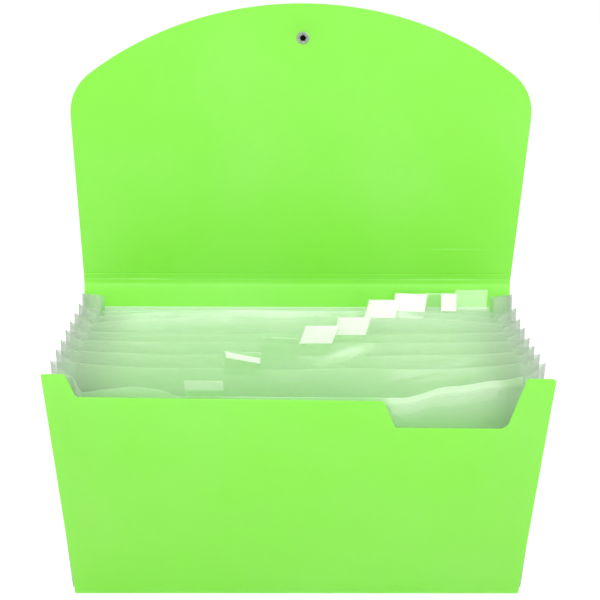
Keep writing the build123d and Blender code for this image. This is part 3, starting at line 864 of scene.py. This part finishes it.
class EXPANDING_FILE_OT_stage(bpy.types.Operator):
    """Floor, soft lights and the camera of the photograph"""

    bl_idname = "expanding_file.stage"
    bl_label = "Stage"

    def execute(self, context):
        scene = context.scene
        scene.view_settings.view_transform = "Standard"
        scene.cycles.transparent_max_bounces = 64  # a line of sight can cross every sheet of the bellows
        mesh = bpy.data.meshes.new("floor")
        corners = ((-1, -1), (1, -1), (1, 1), (-1, 1))
        mesh.from_pydata([(x * FLOOR_REACH, y * FLOOR_REACH, 0) for x, y in corners], [], [(0, 1, 2, 3)])
        place_mesh("floor", mesh, studio_floor(scene.file_colours.floor))

        world = bpy.data.worlds.new("studio")
        world.use_nodes = True
        tree = world.node_tree
        tree.nodes.clear()
        level = add(tree, "ShaderNodeMapRange", {
            "Value": looked_at(tree), "To Min": SKY_LIGHT, "To Max": SKY_SEEN})
        sky = add(tree, "ShaderNodeBackground", {"Color": WHITE, "Strength": level})
        add(tree, "ShaderNodeOutputWorld", {"Surface": sky})
        scene.world = world

        for name, (place, size, power) in LAMPS.items():
            lamp = bpy.data.lights.new(name, "AREA")
            lamp.size, lamp.energy = size, power
            light = bpy.data.objects.new(name, lamp)
            light.location = place
            light.rotation_euler = (LAMP_AIM - Vector(place)).to_track_quat("-Z", "Y").to_euler()
            scene.collection.objects.link(light)

        lens = bpy.data.cameras.new("camera")
        lens.sensor_width = 36.0
        lens.lens = FOCAL_PIXELS * lens.sensor_width / FRAME_PIXELS
        pitch, yaw, roll = radians(CAMERA_PITCH), radians(CAMERA_YAW), radians(CAMERA_ROLL)
        ahead = Vector((sin(yaw) * cos(pitch), cos(yaw) * cos(pitch), -sin(pitch)))
        right = ahead.cross(UP).normalized()
        upward = right.cross(ahead)
        turned = right * cos(roll) + upward * sin(roll)
        upward = upward * cos(roll) - right * sin(roll)
        camera = bpy.data.objects.new("camera", lens)
        axes = Matrix((turned, upward, -ahead)).transposed().to_4x4()
        camera.matrix_world = Matrix.Translation(Vector(CAMERA_PLACE) * MM) @ axes
        scene.collection.objects.link(camera)
        scene.camera = camera
        return {"FINISHED"}


class EXPANDING_FILE_OT_cover(bpy.types.Operator):
    """Front, back and flap of the cover, each one sheet from the middle of a panel round a fold"""

    bl_idname = "expanding_file.cover"
    bl_label = "Cover"

    def execute(self, context):
        sizes, colours = context.scene.file_sizes, context.scene.file_colours
        material = polypropylene_sheet(colours.cover, colours.scuff_and_highlight)
        half, rounding = sizes.sheet / MM / 2, sizes.sheet_edge / MM
        radius = sizes.fold / MM
        twist, score, dimple, sway = (s / MM for s in (sizes.twist, sizes.score, sizes.dimple, sizes.sway))

        front = Leaf("front_fold")
        arc, reach = bend(Vector((0, -1, 0)), front.up, front.foot, radius)
        grid = []
        for u, top in parted(front_edge(sizes.skew / MM)):
            side = Vector((u, 0, 0))
            column = [(side + Vector((0, y, half)), -UP, half, half, 0.0)
                      for y in spaced(0, front.foot.y + reach, 6)[:-1]]
            column += [(side + p, n, half, half, FOLD_WHITENESS) for p, n in arc]
            for share in (0.01, 0.03, 0.06, *spaced(0.1, 1.0, 24)):
                v = reach + share * (top - reach)
                up, across = v / FRONT_HEIGHT, u / HALF_WIDTH
                lift = twist / 2 * (1 + across) * up ** 1.5 + FRONT_BULGE * (1 - across ** 2) * sin(pi * up)
                column.append((front.at(u, v, lift), front.out, half, half, 0.0))
            grid.append(column)
        piece = sheet_piece("cover_front", grid, material, rounding, seam=True)
        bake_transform(piece)
        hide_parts("front_panel", "base_panel")

        back, flap = Leaf("back_fold"), Leaf("flap_fold")
        arc, reach = bend(Vector((0, 1, 0)), back.up, back.foot, radius)
        grid = []
        for u in spaced(-HALF_WIDTH, HALF_WIDTH, 60):
            side = Vector((u, 0, 0))
            column = [(back.at(u, v), -back.out, half, half, 0.0)
                      for v in spaced(FLAP_SEAM, reach, 24)[:-1]]
            column += [(side + p, n, half, half, FOLD_WHITENESS) for p, n in reversed(arc)]
            column += [(side + Vector((0, y, half)), -UP, half, half, 0.0)
                       for y in spaced(back.foot.y - reach, 0, 6)[1:]]
            grid.append(column)
        piece = sheet_piece("cover_back", grid, material, rounding, seam=True)
        back.spot(0, BLEND_REACH)
        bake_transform(piece)
        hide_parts("back_panel")

        arc, reach = bend(back.up, flap.up, flap.foot, sizes.flap_fold / MM, steps=14)
        # Rows of the flap: close together at the score lines, and again round the eyelet
        low = [9, 12, 15, 18, 26]
        for line in SCORES:
            low += [line + d for d in (-1.2, -0.7, -0.4, -0.2, 0, 0.2, 0.4, 0.7, 1.2)]
        low.sort()
        shares = spaced(0.05, 0.76, 14) + spaced(0.775, 0.965, 22) + [0.98, 1.0]
        grid = []
        for u, top in parted(flap_edge()):
            side = Vector((u, 0, 0))
            column = [(back.at(u, v), -back.out, half, half, 0.0)
                      for v in spaced(FLAP_SEAM, BACK_HEIGHT - reach, 12)[:-1]]
            # A faint white line near the start of the bend and a brighter one near its end where wear adds:
            # stress whitening with a painted highlight of the fold
            wear_and_highlight = BEND_END + BEND_WORN * sum(bell(u - place, spread) for place, spread in WORN_BEND)
            for i, (p, n) in enumerate(arc):
                white = max(BEND_START * bell(i - 1, 2), wear_and_highlight * bell(i - len(arc) + 3, 1.2))
                column.append((side + p, n, half, half, white))
            for v in low + [low[-1] + share * (top - low[-1]) for share in shares]:
                lower, upper = (bell(v - line, SCORE_WIDTH) for line in SCORES)
                upper *= UPPER_SCORE
                white = upper * bell(u - WORN_SCORE[0], WORN_SCORE[1])
                drawn = dimple * bell(hypot(u, v - EYELET_HEIGHT), DIMPLE_RADIUS)
                column.append((flap.at(u + sway * v / FLAP_LENGTH, v, -drawn), -flap.out, half,
                               half - score * (lower + upper), white))
            grid.append(column)
        piece = sheet_piece("cover_flap", grid, material, rounding, seam=True)
        back.spot(0, BACK_HEIGHT - reach)
        flap.spot(0, reach)
        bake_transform(piece)
        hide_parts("flap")
        return {"FINISHED"}


class EXPANDING_FILE_OT_pleats(bpy.types.Operator):
    """Side pleats of the bellows, a pair for each pocket"""

    bl_idname = "expanding_file.pleats"
    bl_label = "Pleats"

    def execute(self, context):
        sizes, colours = context.scene.file_sizes, context.scene.file_colours
        tree = pleat_tree()
        material = bpy.data.materials.get("polypropylene_film_cast") or bellows_film(colours)
        pitch_angle = LEAN["divider_fold_1"] - LEAN["divider_fold_2"]
        seams = {i: FOLD[f"divider_fold_{i}"].y for i in DIVIDERS}
        seams[0] = 2 * FOLD["pleat_fold_1"].y - seams[1]
        seams[POCKETS] = 2 * FOLD[f"pleat_fold_{POCKETS}"].y - seams[POCKETS - 1]
        for k in range(1, POCKETS + 1):
            leaf = Leaf(f"pleat_fold_{k}")
            opening = (seams[k - 1] - seams[k]) / 2 * cos(radians(LEAN[f"pleat_fold_{k}"])) - PLEAT_GAP
            mesh = grown_mesh(tree, {
                "Start": (FOLD["back_fold"].y - FOLD["divider_fold_1"].y) / 2 * MM,
                "Height": PLEAT_HEIGHT * MM, "Foot opening": opening * MM,
                "Spread": tan(radians(pitch_angle / 2)), "Flat depth": sizes.pleat,
                "Inner fold": (DIVIDER_WIDTH / 2 + SEAM_GAP) * MM, "Film thickness": sizes.film,
                "Fold rounding": PLEAT_ROUNDING, "Corner drop": PLEAT_CORNER * MM,
                "Top slope": (PLEAT_SLOPE if k > 1 else REAR_PLEAT_SLOPE) * MM,
                "Ripple": PLEAT_RIPPLE * MM, "Seed": k, "Material": material})
            for vertex in mesh.vertices:
                sink = PLEAT_SINK[k][vertex.co.x > 0]
                vertex.co.z -= sink * MM * (vertex.co.z / MM / PLEAT_HEIGHT) ** 3
            seat(mesh, leaf.foot, RIGHT, -leaf.out, leaf.up)
            piece = place_mesh(f"pleat_film_{k}", mesh)
            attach(piece, f"pleat_pair_{k}")
            shut_with_fan(piece)
            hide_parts(f"pleat_left_{k}", f"pleat_right_{k}")
        return {"FINISHED"}


class EXPANDING_FILE_OT_dividers(bpy.types.Operator):
    """Slack film dividers, the liner on the back panel and the floor of the pockets"""

    bl_idname = "expanding_file.dividers"
    bl_label = "Dividers"

    def execute(self, context):
        sizes, colours = context.scene.file_sizes, context.scene.file_colours
        material = bpy.data.materials.get("polypropylene_film_cast") or bellows_film(colours)
        half, ripple = sizes.film / MM / 2, sizes.ripple / MM
        columns = spaced(-DIVIDER_WIDTH / 2, DIVIDER_WIDTH / 2, 84)
        # Rows of a sheet of film, closer together towards its upper edge
        shares = spaced(0, 0.92, 28) + spaced(0.935, 0.99, 6) + [0.994, 0.997, 1.0]

        for number in DIVIDERS:
            leaf, bow = Leaf(f"divider_fold_{number}"), divider_bow(number, ripple)
            grid = []
            for u in columns:
                top, highlight = DIVIDER_HEIGHT, DIVIDER_EDGE_HIGHLIGHT
                if number == FRONT_DIVIDER:
                    # The front divider's painted highlight band grows hazier over part of its width
                    haze = highlight.haze + SWAG_HAZE * ramp((u - HAZE_START) / (HAZE_END - HAZE_START))
                    top, highlight = top - eased(FRONT_SWAG, u)[1], Hem(haze + SWAG_EDGE, haze, highlight.depth)
                column = []
                for v in (share * top for share in shares):
                    point, normal = leaf.at(u, v, bow(u, v)), sheet_normal(leaf, bow, u, v)
                    # Painted highlight along the upper edge, and painted glints on the buckles
                    white = max(painted_edge_highlight(top - v, highlight), creased(CREASES.get(number, ()), u, v, "whiteness"))
                    column.append((point, normal, half, half, white))
                grid.append(column)
            piece = sheet_piece(f"divider_film_{number}", grid, material, half / 2, mark="rim")
            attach(piece, f"divider_leaf_{number}")
            shut_with_fan(piece)
            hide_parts(f"divider_{number}")

        back = Leaf("back_fold")
        foot = FOLD["divider_fold_1"].z
        lift = sizes.sheet / MM / 2 + half + LINER_GAP
        grid = []
        for u in columns:
            wave = LINER_BILLOW * (1 - cos(LINER_WAVES * pi * u / DIVIDER_WIDTH + 1))
            column = []
            for share in shares:
                v = share * DIVIDER_HEIGHT
                point = back.at(u, foot + v, lift + wave * max(0, share - LINER_LOOSE) ** 2)
                # Painted highlight in a band under the liner's upper edge
                column.append((point, back.out, half, half, painted_edge_highlight(DIVIDER_HEIGHT - v, LINER_EDGE_HIGHLIGHT)))
            grid.append(column)
        piece = sheet_piece("liner_film", grid, material, half / 2, mark="rim")
        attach(piece, "back_cover")
        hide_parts("back_liner")

        low, high = (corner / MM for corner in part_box("pocket_floor"))
        grid = []
        for u in columns:
            level = low.z + half + FLOOR_RIPPLE * (1 + sin(0.9 * u))
            grid.append([(Vector((u, y, level)), UP, half, half, 0.0) for y in spaced(low.y, high.y, 18)])
        piece = sheet_piece("floor_film", grid, material, half / 2, mark="rim")
        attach(piece, "base")
        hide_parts("pocket_floor")
        return {"FINISHED"}


class EXPANDING_FILE_OT_tabs(bpy.types.Operator):
    """Clear tab sleeves on the rear sheet of each pocket, and the cards in them"""

    bl_idname = "expanding_file.tabs"
    bl_label = "Index tabs"

    def execute(self, context):
        sizes, colours = context.scene.file_sizes, context.scene.file_colours
        vinyl, paper = clear_sleeve(colours.sleeve), index_card(colours.card)
        wall, card_half, ripple = sizes.tab_wall / MM, sizes.card / MM / 2, sizes.ripple / MM
        fold = SLEEVE_ROOM + wall / 2  # radius of the sleeve's fold, at the middle of its wall
        first = DIVIDER_WIDTH / 2 - TAB_INSET - TAB_WIDTH / 2
        for k in range(1, POCKETS + 1):
            middle, lean = first - (k - 1) * TAB_STEP, TAB_LEAN.get(k, 0.0)
            left, right = middle - TAB_WIDTH / 2, middle + TAB_WIDTH / 2
            if k == 1:
                leaf, body = Leaf("back_fold"), "back_cover"
                edge = FOLD["divider_fold_1"].z + DIVIDER_HEIGHT
                proud = sizes.sheet / MM / 2 + sizes.film / MM + REAR_SLEEVE_GAP + SLEEVE_ROOM + wall

                def bow(u, v):
                    return proud
            else:
                leaf, body = Leaf(f"divider_fold_{k - 1}"), f"divider_leaf_{k - 1}"
                edge, bow = DIVIDER_HEIGHT, divider_bow(k - 1, ripple)
                if k == POCKETS:
                    edge -= eased(FRONT_SWAG, middle)[1]

            def leaned(u, v, n=0.0):
                """A point of the leaning tab, n in front of the film."""
                u += lean * (v - edge)
                return leaf.at(u, v, n + bow(u, v))

            # Section of the folded sleeve: up the front wall, over the fold, down the rear wall
            low, top = edge - TAB_GRIP, edge + TAB_RISE - fold
            line = [(fold, v) for v in spaced(low, top, 8)]
            line += [(fold * cos(a), top + fold * sin(a)) for a in spaced(0, pi, 8)[1:-1]]
            line += [(-fold, v) for v in spaced(top, low, 8)]
            grid = []
            for u in spaced(left, right, 10):
                column = []
                for i, (n, v) in enumerate(line):
                    before, after = line[max(i - 1, 0)], line[min(i + 1, len(line) - 1)]
                    along = leaf.up * (after[1] - before[1]) + leaf.out * (after[0] - before[0])
                    normal = RIGHT.cross(along).normalized()
                    column.append((leaned(u, v, n), normal, wall / 2, wall / 2, 0.0))
                grid.append(column)
            piece = sheet_piece(f"sleeve_{k}", grid, vinyl, wall / 4)
            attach(piece, body)
            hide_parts(f"tab_sleeve_{k}")
            made = [piece]
            if f"tab_card_{k}" in frame["nodes"]:
                room, tall, tilt = CARD_CUT.get(k, (0.0, CARD_HEIGHT, 0.0))
                grid = []
                for u in spaced(left + CARD_SIDE + room, right - CARD_SIDE, 10):
                    rest = edge + TAB_RISE - CARD_TOP - tall - tilt * (u - left - CARD_SIDE)
                    grid.append([(leaned(u, v), sheet_normal(leaf, bow, u, v), card_half, card_half, 0.0)
                                 for v in spaced(rest, rest + tall, 6)])
                card = sheet_piece(f"card_{k}", grid, paper, card_half / 3)
                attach(card, body)
                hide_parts(f"tab_card_{k}")
                made.append(card)
            for piece in made if k > 1 else []:
                shut_with_fan(piece)
        return {"FINISHED"}


class EXPANDING_FILE_OT_eyelet(bpy.types.Operator):
    """Eyelet with its washer, clinched petals and black bead"""

    bl_idname = "expanding_file.eyelet"
    bl_label = "Eyelet"

    def execute(self, context):
        sizes, colours = context.scene.file_sizes, context.scene.file_colours
        nickel, black = nickel_plate(colours.metal), anchor_bead(colours.bead)
        flap = Leaf("flap_fold")
        centre = (sizes.sway / MM * EYELET_HEIGHT / FLAP_LENGTH, EYELET_HEIGHT)
        # Both sides of the sheet at the dimple's floor, as heights over the flap's plane
        face = sizes.sheet / MM / 2 - sizes.dimple / MM
        rear = face - sizes.sheet / MM
        bore, barrel = 1.6, 1.95

        body = lathe_piece("eyelet_barrel", flap, centre, [
            (bore, rear - 0.42), (bore + 0.5, rear - 0.5), (3.0, rear - 0.42), (3.6, rear - 0.28),
            (3.8, rear - 0.12), (3.75, rear), (barrel, rear), (barrel, face + 0.5), (bore, face + 0.5)],
            nickel)
        mesh = grown_mesh(petal_tree(), {
            "Petals": 6, "Barrel radius": (bore + 0.05) * MM, "Roll radius": 0.5 * MM,
            "Base level": (face + 0.4) * MM, "Metal thickness": 0.16 * MM, "Half angle": radians(25),
            "Material": nickel})
        seat(mesh, flap.at(*centre), RIGHT, flap.up, flap.out)
        petals = place_mesh("eyelet_petals", mesh)
        washer = lathe_piece("washer", flap, centre, [
            (2.05, face - 0.05), (2.05, face + 0.3), (2.3, face + 0.42), (3.2, face + 0.4),
            (3.7, face + 0.24), (3.9, face + 0.02), (3.9, face - 0.1)], nickel)
        bead = lathe_piece("bead", flap, centre, [
            (0.0, rear - 0.4), (1.3, rear - 0.4), (1.5, rear - 0.2), (1.5, face + 0.5), (1.3, face + 0.72),
            (0.9, face + 0.84), (0.45, face + 0.9), (0.0, face + 0.92)], black)
        for piece, node, slot in ((body, "eyelet", "metal"), (petals, "eyelet", "metal"),
                                  (washer, "eyelet_washer", "metal"), (bead, "elastic_anchor", "anchor")):
            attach(piece, "flap_leaf")
            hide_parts(node)
        return {"FINISHED"}


class EXPANDING_FILE_PT_pieces(bpy.types.Panel):
    """The pieces of the file and the values that they use"""

    bl_idname = "EXPANDING_FILE_PT_pieces"
    bl_label = "Expanding file"
    bl_space_type = "VIEW_3D"
    bl_region_type = "UI"
    bl_category = "Expanding file"

    def draw(self, context):
        for operator in OPERATORS:
            self.layout.operator(operator.bl_idname)
        for group in (context.scene.file_sizes, context.scene.file_colours):
            box = self.layout.box()
            for name in group.bl_rna.properties.keys():
                if name not in ("rna_type", "name"):
                    box.prop(group, name)


OPERATORS = (
    EXPANDING_FILE_OT_stage,
    EXPANDING_FILE_OT_cover,
    EXPANDING_FILE_OT_dividers,
    EXPANDING_FILE_OT_pleats,
    EXPANDING_FILE_OT_tabs,
    EXPANDING_FILE_OT_eyelet,
)
CLASSES = (FileSizes, FileColours, *OPERATORS, EXPANDING_FILE_PT_pieces)


def register():
    for kind in CLASSES:
        bpy.utils.register_class(kind)
    bpy.types.Scene.file_sizes = bpy.props.PointerProperty(type=FileSizes)
    bpy.types.Scene.file_colours = bpy.props.PointerProperty(type=FileColours)


def unregister():
    del bpy.types.Scene.file_colours
    del bpy.types.Scene.file_sizes
    for kind in reversed(CLASSES):
        bpy.utils.unregister_class(kind)


def main():
    register()
    bpy.ops.expanding_file.stage()
    bpy.ops.expanding_file.cover()
    bpy.ops.expanding_file.dividers()
    bpy.ops.expanding_file.pleats()
    bpy.ops.expanding_file.tabs()
    bpy.ops.expanding_file.eyelet()


if __name__ == "__main__":
    main()
